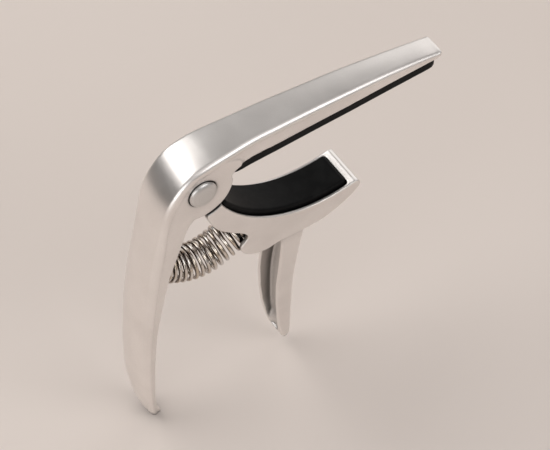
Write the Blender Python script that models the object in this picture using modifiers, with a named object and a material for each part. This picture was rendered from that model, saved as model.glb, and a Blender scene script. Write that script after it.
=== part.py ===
"""Trigger capo: two cast jaws on one rivet, closed by a bent compression spring.

Run with: blender --background --python part.py

Frame: +X runs along the arm to its tip, +Z is up, away from the strings, and +Y is across.
The origin is the middle of the string pad's flat underside. The jaws stand open round a neck.
"""

from math import cos, hypot, pi, radians, sin

import bmesh
import bpy
from mathutils import Vector

MM = 0.001  # every length below is in millimetres

# Hinge
PIVOT = (-33.9, 0.4)  # x, z of the rivet's axis
EAR_RADIUS = 6.9
EAR_OUTER_Y = 4.85
EAR_INNER_Y = 2.9
HUB_RADIUS = 4.4
HUB_HALF_WIDTH = 1.9
HUB_BORE_RADIUS = 3.0
SLOT_RADIUS = 4.75
JAW_INNER_RADIUS = 7.2  # the jaw's walls turn round the ears at this radius
BUSHING_RADIUS = 2.7
PIN_RADIUS = 1.75
PIN_HOLE_RADIUS = 2.05
WASHER_RADIUS = 4.2
WASHER_THICKNESS = 0.5
GAP = 0.25  # between pieces of the hinge
HEAD_RADIUS = 3.0
HEAD_RECESS_RADIUS = 3.3
HEAD_RECESS_Y = 4.45
HEAD_UNDER_Y = 4.75
HEAD_DOME = 0.95  # height of a head at its middle
HEAD_RIM = 0.3  # and at its rim
PIN_END_Y = 4.9
CAP_HOLE_DEPTH = 0.45

# Spring: its axis runs round the hinge and bows outwards in the middle. Angles are from +X
# towards +Z, in degrees, and each seat has its own radius from the hinge.
SPRING_BOW = 2.0
SPRING_OUTER_RADIUS = 3.9
WIRE_RADIUS = 0.4
SPRING_TURNS = 16.5
END_TURNS = 1.0  # closed turns at each end
END_PITCH_DEG = 2.3
FRAME_SEAT_DEG = -114.8
FRAME_SEAT_RADIUS = 22.4
LEVER_SEAT_DEG = -60.9
LEVER_SEAT_RADIUS = 24.2
SEAT_GAP = 0.3
SEAT_POCKET_RADIUS = 4.2
SEAT_POCKET_MOUTH_RADIUS = 4.35
SEAT_POCKET_LENGTH = 9.0
PEG_RADIUS = 2.4
PEG_LENGTH = 2.6

# Arm and string pad
ARM_UNDERSIDE_Z = 2.75
PAD_RECESS_DEPTH = 0.5
PAD_RECESS_LIP = 0.45
PAD_CLEARANCE = 0.3
STRING_PAD_TIP_X = 22.15
STRING_PAD_ROOT_X = -26.6

# Cradle of the jaw: an arc about a point above it. Angles are from straight down, towards -X.
CRADLE_CENTRE = (-6.06, 7.28)
CRADLE_RADIUS = 27.0
CRADLE_TIP_DEG = -16.0
CRADLE_ROOT_DEG = 61.6
NECK_PAD_PROUD = 1.1
NECK_PAD_RECESS = 1.2
NECK_PAD_LIP = 0.9
JAW_HALF_WIDTH = 5.0

# Handles
REAR_WALL = 1.5
REAR_SIDE_WALL = 1.4
FRONT_WALL = 1.2
FRONT_SIDE_WALL = 0.9
HOLLOW_EDGE = 0.5  # rounding at the bottom of a hollow

# Stations of the frame, arm tip to rear handle tip: outer x, z, inner x, z, width, edge, crown
FRAME_STATIONS = [
    (23.0, 4.00, 23.0, 3.00, 4.4, 0.40, 0.05),
    (22.8, 4.22, 22.8, 2.85, 5.0, 0.50, 0.08),
    (22.0, 4.38, 22.0, 2.75, 5.6, 0.55, 0.12),
    (18.0, 5.05, 18.0, 2.75, 5.9, 0.60, 0.20),
    (9.3, 6.10, 9.3, 2.75, 6.5, 0.65, 0.25),
    (0.9, 6.80, 0.9, 2.75, 7.2, 0.70, 0.25),
    (-7.6, 7.25, -7.6, 2.75, 7.7, 0.70, 0.25),
    (-15.9, 7.60, -15.9, 2.75, 8.3, 0.75, 0.25),
    (-22.0, 7.70, -22.5, 2.75, 8.6, 0.80, 0.25),
    (-28.0, 7.50, -28.0, 2.00, 9.5, 0.80, 0.25),
    (-32.0, 7.15, -31.5, 0.50, 9.9, 0.85, 0.25),
    (-35.7, 6.25, -33.0, -0.60, 9.9, 0.90, 0.25),
    (-38.4, 4.45, -34.0, -2.00, 9.9, 0.90, 0.25),
    (-40.8, 1.55, -34.8, -4.00, 9.9, 0.95, 0.30),
    (-42.3, -1.50, -36.2, -6.30, 9.9, 1.10, 0.40),
    (-43.2, -5.00, -37.5, -8.50, 9.9, 1.30, 0.55),
    (-44.1, -9.00, -38.5, -11.20, 9.95, 1.50, 0.70),
    (-45.1, -13.50, -39.8, -14.60, 10.1, 1.60, 0.80),
    (-46.4, -20.00, -42.0, -20.40, 10.2, 1.60, 0.90),
    (-47.5, -27.50, -43.7, -27.60, 10.2, 1.50, 0.90),
    (-48.2, -36.00, -45.3, -36.00, 10.2, 1.20, 0.90),
    (-48.6, -44.00, -46.1, -44.00, 10.2, 1.00, 0.90),
    (-48.6, -52.00, -46.5, -52.00, 10.1, 0.90, 0.85),
    (-48.2, -57.50, -46.4, -57.40, 9.2, 0.80, 0.70),
    (-47.5, -62.00, -45.6, -61.80, 7.9, 0.70, 0.45),
    (-46.8, -64.50, -44.8, -64.20, 6.8, 0.65, 0.25),
    (-46.1, -65.75, -44.6, -65.50, 4.9, 0.50, 0.12),
]

# Stations of the front handle, top to tip
FRONT_STATIONS = [
    (-8.4, -23.4, -14.9, -24.0, 7.6, 1.0, 0.5),
    (-9.9, -30.0, -15.2, -30.2, 7.6, 1.1, 0.6),
    (-11.2, -37.0, -15.8, -36.8, 7.7, 1.1, 0.6),
    (-12.0, -43.0, -16.4, -43.0, 7.7, 1.1, 0.6),
    (-12.3, -49.0, -16.3, -49.4, 7.5, 1.0, 0.6),
    (-12.4, -54.5, -15.8, -55.3, 6.9, 0.9, 0.5),
    (-12.2, -59.8, -14.8, -60.5, 5.4, 0.7, 0.4),
    (-12.0, -63.0, -13.5, -63.5, 3.6, 0.45, 0.2),
    (-12.1, -64.3, -13.1, -64.6, 2.0, 0.3, 0.1),
]

# Where the hollows of the two handles start and end, as z, and how far up the ramp at the end goes
REAR_HOLLOW_Z = (-28.5, -58.5)
FRONT_HOLLOW_Z = (-26.8, -60.0)
HOLLOW_RAMP = 3.0


def vec(x, y, z):
    return Vector((x, y, z)) * MM


def around(centre, radius, degrees):
    """A point of the XZ plane, at an angle from +X towards +Z."""
    return (centre[0] + radius * cos(radians(degrees)), centre[1] + radius * sin(radians(degrees)))


def arc(centre, radius, start, end, count):
    """Points of an arc in the XZ plane, both ends included."""
    return [around(centre, radius, start + (end - start) * i / (count - 1)) for i in range(count)]


def cradle_arc(radius, start, end, count):
    """Points of an arc about the cradle's centre, at angles from straight down towards -X."""
    return arc(CRADLE_CENTRE, radius, -90.0 - start, -90.0 - end, count)


def smooth(points, steps):
    """A Catmull-Rom curve through the points, with the given steps for each span."""
    ends = [points[0]] + list(points) + [points[-1]]
    curve = []
    for i in range(1, len(ends) - 2):
        a, b, c, d = ends[i - 1 : i + 3]
        for step in range(steps):
            t = step / steps
            curve.append(
                tuple(
                    0.5
                    * (
                        2 * q
                        + (r - p) * t
                        + (2 * p - 5 * q + 4 * r - s) * t * t
                        + (3 * q - p - 3 * r + s) * t ** 3
                    )
                    for p, q, r, s in zip(a, b, c, d)
                )
            )
    curve.append(tuple(points[-1]))
    return curve


def make_material(name, colour, roughness, metallic):
    material = bpy.data.materials.new(name)
    material.use_nodes = True
    shader = material.node_tree.nodes["Principled BSDF"]
    shader.inputs["Base Color"].default_value = (*colour, 1.0)
    shader.inputs["Roughness"].default_value = roughness
    shader.inputs["Metallic"].default_value = metallic
    return material


def add_mesh(name, mesh, group, material=None):
    obj = bpy.data.objects.new(name, mesh)
    group.objects.link(obj)
    if material:
        mesh.materials.append(material)
    if group.name == "cutters":
        obj.hide_render = True
        obj.display_type = "WIRE"
    return obj


def loft(name, rings, group, material=None):
    """A closed skin over rings that have the same number of points, with flat ends."""
    bm = bmesh.new()
    rows = [[bm.verts.new(vec(*point)) for point in ring] for ring in rings]
    count = len(rows[0])
    for low, high in zip(rows, rows[1:]):
        for i in range(count):
            j = (i + 1) % count
            bm.faces.new((low[i], low[j], high[j], high[i]))
    bm.faces.new(rows[0])
    bm.faces.new(reversed(rows[-1]))
    bmesh.ops.recalc_face_normals(bm, faces=bm.faces)
    mesh = bpy.data.meshes.new(name)
    bm.to_mesh(mesh)
    bm.free()
    return add_mesh(name, mesh, group, material)


def prism(name, outline, half_width, group, material=None, bevel=0.0):
    """A flat outline in the XZ plane, extruded to both sides of it, with rounded rims."""
    curve = bpy.data.curves.new(name, "CURVE")
    curve.dimensions = "2D"
    curve.fill_mode = "BOTH"
    curve.extrude = half_width * MM
    spline = curve.splines.new("POLY")
    spline.points.add(len(outline) - 1)
    for point, (x, z) in zip(spline.points, outline):
        point.co = (x * MM, z * MM, 0.0, 1.0)
    spline.use_cyclic_u = True
    flat = bpy.data.objects.new(name + "_outline", curve)
    bpy.context.scene.collection.objects.link(flat)
    mesh = to_mesh(flat)
    for vertex in mesh.vertices:
        x, z, across = vertex.co
        vertex.co = (x, -across, z)
    obj = add_mesh(name, mesh, group, material)
    if bevel:
        rounding = obj.modifiers.new("rims", "BEVEL")
        rounding.width = bevel * MM
        rounding.segments = 2
        rounding.limit_method = "ANGLE"
        rounding.angle_limit = radians(60)
        apply_modifiers(obj)
    return obj


def to_mesh(obj):
    """The evaluated mesh of an object that isn't needed afterwards, with its caps welded."""
    depsgraph = bpy.context.evaluated_depsgraph_get()
    mesh = bpy.data.meshes.new_from_object(obj.evaluated_get(depsgraph))
    bm = bmesh.new()
    bm.from_mesh(mesh)
    bmesh.ops.remove_doubles(bm, verts=bm.verts, dist=0.001 * MM)
    bmesh.ops.recalc_face_normals(bm, faces=bm.faces)
    bm.to_mesh(mesh)
    bm.free()
    bpy.data.objects.remove(obj)
    return mesh


def apply_modifiers(obj):
    depsgraph = bpy.context.evaluated_depsgraph_get()
    mesh = bpy.data.meshes.new_from_object(obj.evaluated_get(depsgraph))
    obj.modifiers.clear()
    obj.data = mesh


def combine(target, tool, operation):
    """Add a Boolean modifier to the target. A tool that is joined to it is hidden like a cutter."""
    modifier = target.modifiers.new(f"{operation.lower()}_{tool.name}", "BOOLEAN")
    modifier.operation = operation
    modifier.object = tool
    modifier.solver = "EXACT"


def cylinder(name, centre, direction, radius, top_radius, length, group):
    """A cylinder or cone from a base point along a direction, with 40 sides."""
    bpy.ops.mesh.primitive_cone_add(
        vertices=40, radius1=radius * MM, radius2=top_radius * MM, depth=length * MM
    )
    obj = bpy.context.object
    obj.name = name
    heading = Vector(direction).normalized()
    turn = Vector((0, 0, 1)).rotation_difference(heading)
    for vertex in obj.data.vertices:
        vertex.co = turn @ (vertex.co + vec(0, 0, length / 2)) + vec(*centre)
    for collection in list(obj.users_collection):
        collection.objects.unlink(obj)
    group.objects.link(obj)
    if group.name == "cutters":
        obj.hide_render = True
        obj.display_type = "WIRE"
    return obj


def turned(name, profile, towards, group, material, sides=48):
    """A profile of radius and height turned about the rivet's axis, its height along -Y or +Y."""
    mesh = bpy.data.meshes.new(name)
    edges = [(i, i + 1) for i in range(len(profile) - 1)]
    if profile[0][0] > 0:
        edges.append((len(profile) - 1, 0))
    mesh.from_pydata([vec(r, 0, h) for r, h in profile], edges, [])
    obj = add_mesh(name, mesh, group, material)
    screw = obj.modifiers.new("turn", "SCREW")
    screw.axis = "Z"
    screw.steps = sides
    screw.render_steps = sides
    screw.use_merge_vertices = True
    screw.merge_threshold = 0.00001
    screw.use_smooth_shade = True
    obj.location = vec(PIVOT[0], 0, PIVOT[1])
    obj.rotation_euler = (-towards * pi / 2, 0, 0)
    return obj


def section(station, cut=0.0, lip=0.0, reach=0.0):
    """One ring of a handle or arm.

    With cut and lip it is the ring of the hollow instead: cut is the wall that stays at the outer
    face, lip the wall at each side, and reach how far the ring runs out past the inner face.
    """
    outer_x, outer_z, inner_x, inner_z, width, edge, crown = station
    across = width / 2 - lip
    thickness = hypot(outer_x - inner_x, outer_z - inner_z)
    normal = ((outer_x - inner_x) / thickness, (outer_z - inner_z) / thickness)
    top = thickness - cut
    low = -reach
    inner_edge = 0.3
    corner = [(cos(a), sin(a)) for a in (0.0, pi / 8, pi / 4, 3 * pi / 8, pi / 2)]
    right = [(across - edge + edge * c, top - edge + edge * s) for c, s in corner]
    flat = across - edge
    crowned = [(flat * k, top + crown * (1 - k * k)) for k in (0.5, 0.0, -0.5)]
    left = [(-y, h) for y, h in reversed(right)]
    bottom = [(-across, low + inner_edge), (-across + inner_edge, low)]
    bottom += [(-y, h) for y, h in reversed(bottom)]
    return [
        (inner_x + normal[0] * h, y, inner_z + normal[1] * h)
        for y, h in right + crowned + left + bottom
    ]


def hollow_sections(stations, span, wall, side_wall):
    """Rings of a handle's hollow between two heights, which ends in a ramp at the lower one."""
    curve = smooth(stations, 4)
    between = [tuple((a + b) / 2 for a, b in zip(low, high)) for low, high in zip(curve, curve[1:])]
    rings = []
    for station in between:
        outer_x, outer_z, inner_x, inner_z = station[:4]
        if not span[1] <= outer_z <= span[0] or outer_x > 0:
            continue
        thickness = hypot(outer_x - inner_x, outer_z - inner_z)
        shallow = max(0.0, 1 - (outer_z - span[1]) / HOLLOW_RAMP)
        cut = wall + (thickness - wall - 0.1) * shallow
        rings.append(section((*station[:5], HOLLOW_EDGE, station[6]), cut, side_wall, 3.0))
    return rings


def seat(radius, degrees):
    """The centre of a spring seat, and the arc's direction there, towards larger angles."""
    x, z = around(PIVOT, radius, degrees)
    return (x, 0.0, z), (-sin(radians(degrees)), 0.0, cos(radians(degrees)))


def moved(point, direction, distance):
    return tuple(p + d * distance for p, d in zip(point, direction))


def spring_seat(target, name, radius, degrees, sign, cutters):
    """Cut the round pocket that takes the spring's end, and stand a peg in its middle."""
    centre, along = seat(radius, degrees)
    mouth = tuple(sign * a for a in along)
    pocket = cylinder(
        name + "_pocket", centre, mouth, SEAT_POCKET_RADIUS, SEAT_POCKET_MOUTH_RADIUS,
        SEAT_POCKET_LENGTH, cutters,
    )
    combine(target, pocket, "DIFFERENCE")
    root = moved(centre, mouth, -1.0)
    peg = cylinder(name + "_peg", root, mouth, PEG_RADIUS, PEG_RADIUS - 0.4, PEG_LENGTH + 1.0, cutters)
    combine(target, peg, "UNION")


def ear_outline():
    """Side outline of the hinge ears, which runs on inside the arm and the rear handle."""
    fork = [(-27.2, 1.1), (-26.6, 1.8), (-25.9, 2.25), (-25.0, 2.6)]
    inside_arm = [(-24.6, 3.6), (-26.0, 5.0), (-29.5, 5.9), (-33.5, 5.3), (-37.4, 2.9)]
    inside_handle = [(-40.0, -1.0), (-41.5, -6.0), (-42.2, -11.0)]
    throat = [(-39.2, -12.2), (-38.3, -9.8), (-37.5, -8.2), (-36.5, -7.1), (-35.7, -6.35)]
    disc = arc(PIVOT, EAR_RADIUS, -98.0, -4.0, 22)
    return fork + inside_arm + inside_handle + smooth(throat, 2) + disc


def slot_outline():
    """Side outline of the slot between the ears, which the hub and its web turn in."""
    roof = arc(PIVOT, SLOT_RADIUS, 180.0, 14.0, 20)
    open_side = [(-28.2, 1.5), (-26.9, 0.6), (-26.0, -1.0), (-26.0, -14.0), (-36.0, -14.0)]
    back = [(-37.0, -9.4), (-38.2, -5.6), (-38.8, -2.0)]
    return roof + open_side + back


def make_frame(group, cutters, material):
    rings = [section(s) for s in smooth(FRAME_STATIONS, 2)]
    frame = loft("frame", rings, group, material)
    ears = prism("ears", ear_outline(), EAR_OUTER_Y, cutters, bevel=0.35)
    combine(frame, ears, "UNION")
    slot = prism("slot", slot_outline(), EAR_INNER_Y, cutters)
    combine(frame, slot, "DIFFERENCE")
    rings = hollow_sections(FRAME_STATIONS, REAR_HOLLOW_Z, REAR_WALL, REAR_SIDE_WALL)
    hollow = loft("rear_hollow", rings, cutters)
    combine(frame, hollow, "DIFFERENCE")
    hole = cylinder(
        "pin_hole", (PIVOT[0], -8, PIVOT[1]), (0, 1, 0), PIN_HOLE_RADIUS, PIN_HOLE_RADIUS, 16, cutters
    )
    combine(frame, hole, "DIFFERENCE")
    for side, name in ((-1, "near_recess"), (1, "far_recess")):
        base = (PIVOT[0], side * HEAD_RECESS_Y, PIVOT[1])
        recess = cylinder(
            name, base, (0, side, 0), HEAD_RECESS_RADIUS, HEAD_RECESS_RADIUS, 3, cutters
        )
        combine(frame, recess, "DIFFERENCE")
    combine(frame, pad_recess(cutters), "DIFFERENCE")
    spring_seat(frame, "rear_seat", FRAME_SEAT_RADIUS, FRAME_SEAT_DEG, 1, cutters)
    return frame


def arm_width(x):
    """Width of the arm at a place along it, which stays the same past its tip's rounding."""
    stations = [(s[0], s[4]) for s in FRAME_STATIONS[3:12]]
    x = min(x, stations[0][0])
    for (x0, w0), (x1, w1) in zip(stations, stations[1:]):
        if x1 <= x <= x0:
            return w0 + (w1 - w0) * (x0 - x) / (x0 - x1)
    return stations[-1][1]


def pad_recess(cutters):
    """The shallow tapered pocket in the arm's underside that takes the string pad."""
    rings = []
    for x in (STRING_PAD_TIP_X + PAD_CLEARANCE, 10.0, -2.0, -14.0, -23.5, -29.0):
        half = arm_width(x) / 2 - PAD_RECESS_LIP
        low = ARM_UNDERSIDE_Z - 1.5
        high = ARM_UNDERSIDE_Z + PAD_RECESS_DEPTH
        rings.append([(x, -half, low), (x, half, low), (x, half, high), (x, -half, high)])
    return loft("pad_recess", rings, cutters)


def make_string_pad(group, material):
    """The string pad: a tapered strip with a flat underside, rounded up to the ear at its root."""
    top = ARM_UNDERSIDE_Z + PAD_RECESS_DEPTH - PAD_CLEARANCE
    root = STRING_PAD_ROOT_X
    stations = [
        (root, 0.35, 0.9),
        (root + 0.4, 0.1, 1.5),
        (root + 1.2, 0.0, 2.1),
        (root + 2.6, 0.0, 2.45),
        (root + 3.4, 0.0, top),
        (-14.0, 0.0, top),
        (-2.0, 0.0, top),
        (10.0, 0.0, top),
        (STRING_PAD_TIP_X - 0.5, 0.0, top),
        (STRING_PAD_TIP_X, 0.3, top - 0.2),
    ]
    rings = []
    for x, low, high in stations:
        half = arm_width(x) / 2 - PAD_RECESS_LIP - PAD_CLEARANCE
        edge = 0.5
        rings.append(
            [
                (x, -half, high), (x, -half, low + edge), (x, -half + edge / 3, low + edge / 3),
                (x, -half + edge, low), (x, half - edge, low), (x, half - edge / 3, low + edge / 3),
                (x, half, low + edge), (x, half, high),
            ]
        )
    return loft("string_pad", rings, group, material)


def jaw_outline():
    """Side outline of the jaw: round the ears, past the spring's mouth and lobe, to its tip."""
    hinge_arc = arc(PIVOT, JAW_INNER_RADIUS, -55.9, -82.0, 9)
    back = [(-33.15, -7.5), (-32.6, -9.0), (-31.8, -11.0), (-30.5, -12.9), (-28.9, -14.5)]
    notch = [(-27.4, -15.8), (-25.9, -16.9), (-24.5, -18.2), (-24.0, -19.3), (-24.5, -20.3)]
    lobe = [(-25.2, -20.9), (-25.7, -21.8), (-25.3, -23.3), (-23.9, -24.8)]
    under = [(-21.8, -25.8), (-19.4, -26.1), (-17.4, -25.7), (-14.0, -25.6), (-10.0, -25.7)]
    tip = [(-6.0, -25.3), (-2.0, -23.8), (0.8, -22.2), (2.3, -20.9), (2.7, -19.8), (2.2, -18.9)]
    cradle = cradle_arc(CRADLE_RADIUS, CRADLE_TIP_DEG, CRADLE_ROOT_DEG, 30)
    return hinge_arc + smooth(back + notch + lobe + under + tip, 2) + cradle


def web_outline():
    """Side outline of the web that joins the hub to the jaw; it stays clear of the hub's bore."""
    in_hub = arc(PIVOT, HUB_RADIUS - 0.7, -120.0, -20.0, 6)
    low, high = JAW_INNER_RADIUS + 0.2, JAW_INNER_RADIUS + 1.4
    in_jaw = [(low, -57.0), (high, -58.0), (high, -79.0), (low, -80.0)]
    return in_hub + [around(PIVOT, radius, degrees) for radius, degrees in in_jaw]


def make_lever(group, cutters, material):
    lever = prism("lever", jaw_outline(), JAW_HALF_WIDTH, group, material, bevel=0.45)
    handle = loft("front_handle", [section(s) for s in smooth(FRONT_STATIONS, 3)], cutters)
    combine(lever, handle, "UNION")
    combine(lever, prism("web", web_outline(), HUB_HALF_WIDTH, cutters), "UNION")
    hub = cylinder(
        "hub", (PIVOT[0], -HUB_HALF_WIDTH, PIVOT[1]), (0, 1, 0), HUB_RADIUS, HUB_RADIUS,
        2 * HUB_HALF_WIDTH, cutters,
    )
    combine(lever, hub, "UNION")
    bore = cylinder(
        "hub_bore", (PIVOT[0], -8, PIVOT[1]), (0, 1, 0), HUB_BORE_RADIUS, HUB_BORE_RADIUS, 16, cutters
    )
    combine(lever, bore, "DIFFERENCE")
    rings = hollow_sections(FRONT_STATIONS, FRONT_HOLLOW_Z, FRONT_WALL, FRONT_SIDE_WALL)
    hollow = loft("front_hollow", rings, cutters)
    combine(lever, hollow, "DIFFERENCE")
    outline = cradle_arc(CRADLE_RADIUS - 3.0, CRADLE_TIP_DEG + 3.0, CRADLE_ROOT_DEG - 2.5, 24)
    outline += cradle_arc(CRADLE_RADIUS + NECK_PAD_RECESS, CRADLE_ROOT_DEG - 2.5, CRADLE_TIP_DEG + 3.0, 24)
    recess = prism("cradle_recess", outline, JAW_HALF_WIDTH - NECK_PAD_LIP, cutters)
    combine(lever, recess, "DIFFERENCE")
    spring_seat(lever, "front_seat", LEVER_SEAT_RADIUS, LEVER_SEAT_DEG, -1, cutters)
    return lever


def make_neck_pad(group, material):
    margin = 0.7
    start, end = CRADLE_TIP_DEG + 3.0 + margin, CRADLE_ROOT_DEG - 2.5 - margin
    outline = cradle_arc(CRADLE_RADIUS - NECK_PAD_PROUD, start, end, 28)
    outline += cradle_arc(CRADLE_RADIUS + NECK_PAD_RECESS - PAD_CLEARANCE, end, start, 28)
    half_width = JAW_HALF_WIDTH - NECK_PAD_LIP - PAD_CLEARANCE
    return prism("neck_pad", outline, half_width, group, material, bevel=0.4)


def head_dome():
    """Profile of a domed head from its crown out to its rim, down to its underside."""
    profile = [(0.0, HEAD_UNDER_Y + HEAD_DOME)]
    steps = 6
    for i in range(1, steps + 1):
        k = i / steps
        fall = (HEAD_DOME - HEAD_RIM) * (1 - k ** 2.6)
        profile.append((HEAD_RADIUS * k, HEAD_UNDER_Y + HEAD_RIM + fall))
    profile.append((HEAD_RADIUS, HEAD_UNDER_Y))
    return profile


def make_rivet(group, material):
    """Solid pin with a low domed head on the near side."""
    shank = [(PIN_RADIUS, HEAD_UNDER_Y), (PIN_RADIUS, -PIN_END_Y), (0.0, -PIN_END_Y)]
    return turned("pivot_rivet", head_dome() + shank, -1, group, material)


def make_cap(group, material):
    """Domed cap with a blind hole for the pin's end, on the far side."""
    bottom = HEAD_UNDER_Y + CAP_HOLE_DEPTH
    hole = [(PIN_HOLE_RADIUS, HEAD_UNDER_Y), (PIN_HOLE_RADIUS, bottom), (0.0, bottom)]
    return turned("rivet_cap", head_dome() + hole, 1, group, material)


def make_ring(name, inner, outer, low, high, group, material):
    """A flat ring round the rivet between two distances along its axis."""
    profile = [(outer, high), (outer, low), (inner, low), (inner, high)]
    return turned(name, profile, 1, group, material)


def spring_points():
    """Centre line of the wire: turns about an arc, with closed turns at both ends."""
    inset = (WIRE_RADIUS + SEAT_GAP) / FRAME_SEAT_RADIUS * 180 / pi
    start = FRAME_SEAT_DEG + inset
    end = LEVER_SEAT_DEG - inset
    coil = SPRING_OUTER_RADIUS - WIRE_RADIUS
    free_turns = SPRING_TURNS - 2 * END_TURNS
    pitch = (end - start - 2 * END_TURNS * END_PITCH_DEG) / free_turns
    per_turn = 14
    count = int(SPRING_TURNS * per_turn)
    points = []
    for i in range(count + 1):
        turn = SPRING_TURNS * i / count
        first = min(turn, END_TURNS)
        last = max(turn - (SPRING_TURNS - END_TURNS), 0.0)
        middle = turn - first - last
        degrees = start + (first + last) * END_PITCH_DEG + middle * pitch
        angle = 2 * pi * turn
        done = turn / SPRING_TURNS
        axis_radius = FRAME_SEAT_RADIUS + (LEVER_SEAT_RADIUS - FRAME_SEAT_RADIUS) * done
        axis_radius += SPRING_BOW * sin(pi * done) ** 2
        radius = axis_radius + coil * cos(angle)
        x, z = around(PIVOT, radius, degrees)
        points.append((x, coil * sin(angle), z))
    return points


def make_spring(group, material):
    curve = bpy.data.curves.new("main_spring", "CURVE")
    curve.dimensions = "3D"
    curve.bevel_depth = WIRE_RADIUS * MM
    curve.bevel_resolution = 2
    curve.use_fill_caps = True
    points = spring_points()
    spline = curve.splines.new("POLY")
    spline.points.add(len(points) - 1)
    for point, place in zip(spline.points, points):
        point.co = (*vec(*place), 1.0)
    curve.materials.append(material)
    obj = bpy.data.objects.new("main_spring", curve)
    group.objects.link(obj)
    return obj


def set_origin(obj, x, z):
    """Put an object's origin on the rivet's axis without moving its mesh."""
    shift = vec(x, 0, z)
    for vertex in obj.data.vertices:
        vertex.co -= shift
    obj.location = shift


def shade_round(obj):
    for polygon in obj.data.polygons:
        polygon.use_smooth = True
    obj.data.set_sharp_from_angle(angle=radians(35))


def build():
    for obj in list(bpy.data.objects):
        bpy.data.objects.remove(obj)
    group = bpy.data.collections.new("capo")
    cutters = bpy.data.collections.new("cutters")
    for collection in (group, cutters):
        bpy.context.scene.collection.children.link(collection)

    alloy = make_material("satin_alloy", (0.72, 0.71, 0.70), 0.34, 1.0)
    rubber = make_material("black_rubber", (0.015, 0.015, 0.016), 0.55, 0.0)
    steel = make_material("spring_steel", (0.62, 0.60, 0.57), 0.22, 1.0)
    rivet_steel = make_material("rivet_steel", (0.68, 0.67, 0.66), 0.28, 1.0)
    bronze = make_material("bushing_bronze", (0.62, 0.43, 0.22), 0.35, 1.0)
    nylon = make_material("washer_nylon", (0.80, 0.79, 0.75), 0.45, 0.0)

    frame = make_frame(group, cutters, alloy)
    lever = make_lever(group, cutters, alloy)
    string_pad = make_string_pad(group, rubber)
    neck_pad = make_neck_pad(group, rubber)
    make_rivet(group, rivet_steel)
    make_cap(group, rivet_steel)
    make_ring(
        "hinge_bushing", PIN_HOLE_RADIUS, BUSHING_RADIUS, -HUB_HALF_WIDTH, HUB_HALF_WIDTH, group, bronze
    )
    washer_low = HUB_HALF_WIDTH + GAP
    washer_high = washer_low + WASHER_THICKNESS
    make_ring("thrust_washer_near", PIN_HOLE_RADIUS, WASHER_RADIUS, -washer_high, -washer_low, group, nylon)
    make_ring("thrust_washer_far", PIN_HOLE_RADIUS, WASHER_RADIUS, washer_low, washer_high, group, nylon)
    make_spring(group, steel)

    for obj in (frame, lever):
        apply_modifiers(obj)
    for obj in (lever, neck_pad):
        set_origin(obj, *PIVOT)
    for obj in (frame, lever, string_pad, neck_pad):
        shade_round(obj)


build()
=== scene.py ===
"""Looks of the trigger capo: castings, pads, spring and rivet, on a pale studio floor."""

from math import cos, hypot, pi, radians, sin

import bmesh
import bpy
from mathutils import Matrix, Vector


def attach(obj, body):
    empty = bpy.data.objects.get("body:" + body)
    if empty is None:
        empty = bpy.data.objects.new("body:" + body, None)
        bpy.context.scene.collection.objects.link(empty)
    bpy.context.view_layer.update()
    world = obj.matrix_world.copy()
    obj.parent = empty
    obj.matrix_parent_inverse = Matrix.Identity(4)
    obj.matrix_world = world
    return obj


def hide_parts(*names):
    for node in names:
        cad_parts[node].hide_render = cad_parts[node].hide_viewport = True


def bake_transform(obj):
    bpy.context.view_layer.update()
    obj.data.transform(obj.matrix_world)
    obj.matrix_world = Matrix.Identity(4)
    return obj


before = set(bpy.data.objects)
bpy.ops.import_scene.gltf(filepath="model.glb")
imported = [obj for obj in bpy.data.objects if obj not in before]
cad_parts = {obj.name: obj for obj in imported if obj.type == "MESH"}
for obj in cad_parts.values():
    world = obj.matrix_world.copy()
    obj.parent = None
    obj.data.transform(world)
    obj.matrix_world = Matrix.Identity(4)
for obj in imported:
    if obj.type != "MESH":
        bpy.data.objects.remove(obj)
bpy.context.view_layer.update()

MM = 0.001  # lengths below are in millimetres, in the CAD's frame
PIVOT = (-33.9, 0.4)
ROUND_SIDES = 96  # of every turned or drilled shape
RIM_STEPS = 3  # of every rounded rim
CASTING_SKIN = (0.17, 9)  # voxel and rounds of smoothing
RUBBER_SKIN = (0.15, 4)


# ---------------------------------------------------------------- geometry helpers


def vec(x, y, z):
    return Vector((x, y, z)) * MM


def around(centre, radius, degrees):
    """A point of the XZ plane, at an angle from +X towards +Z."""
    return (centre[0] + radius * cos(radians(degrees)), centre[1] + radius * sin(radians(degrees)))


def arc(centre, radius, start, end, count):
    return [around(centre, radius, start + (end - start) * i / (count - 1)) for i in range(count)]


def smooth(points, steps):
    """A Catmull-Rom curve through the points, with the given steps for each span."""
    ends = [points[0]] + list(points) + [points[-1]]
    curve = []
    for i in range(1, len(ends) - 2):
        a, b, c, d = ends[i - 1 : i + 3]
        for step in range(steps):
            t = step / steps
            curve.append(
                tuple(
                    0.5
                    * (
                        2 * q
                        + (r - p) * t
                        + (2 * p - 5 * q + 4 * r - s) * t * t
                        + (3 * q - p - 3 * r + s) * t**3
                    )
                    for p, q, r, s in zip(a, b, c, d)
                )
            )
    curve.append(tuple(points[-1]))
    return curve


def add_object(name, mesh):
    obj = bpy.data.objects.new(name, mesh)
    bpy.context.scene.collection.objects.link(obj)
    return obj


def mesh_from(name, bm):
    mesh = bpy.data.meshes.new(name)
    bm.to_mesh(mesh)
    bm.free()
    return mesh


def loft(name, rings):
    """A closed skin over rings of points, in millimetres."""
    bm = bmesh.new()
    rows = [[bm.verts.new(vec(*point)) for point in ring] for ring in rings]
    count = len(rows[0])
    for low, high in zip(rows, rows[1:]):
        for i in range(count):
            j = (i + 1) % count
            bm.faces.new((low[i], low[j], high[j], high[i]))
    bm.faces.new(rows[0])
    bm.faces.new(reversed(rows[-1]))
    bmesh.ops.recalc_face_normals(bm, faces=bm.faces)
    return add_object(name, mesh_from(name, bm))


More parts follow.
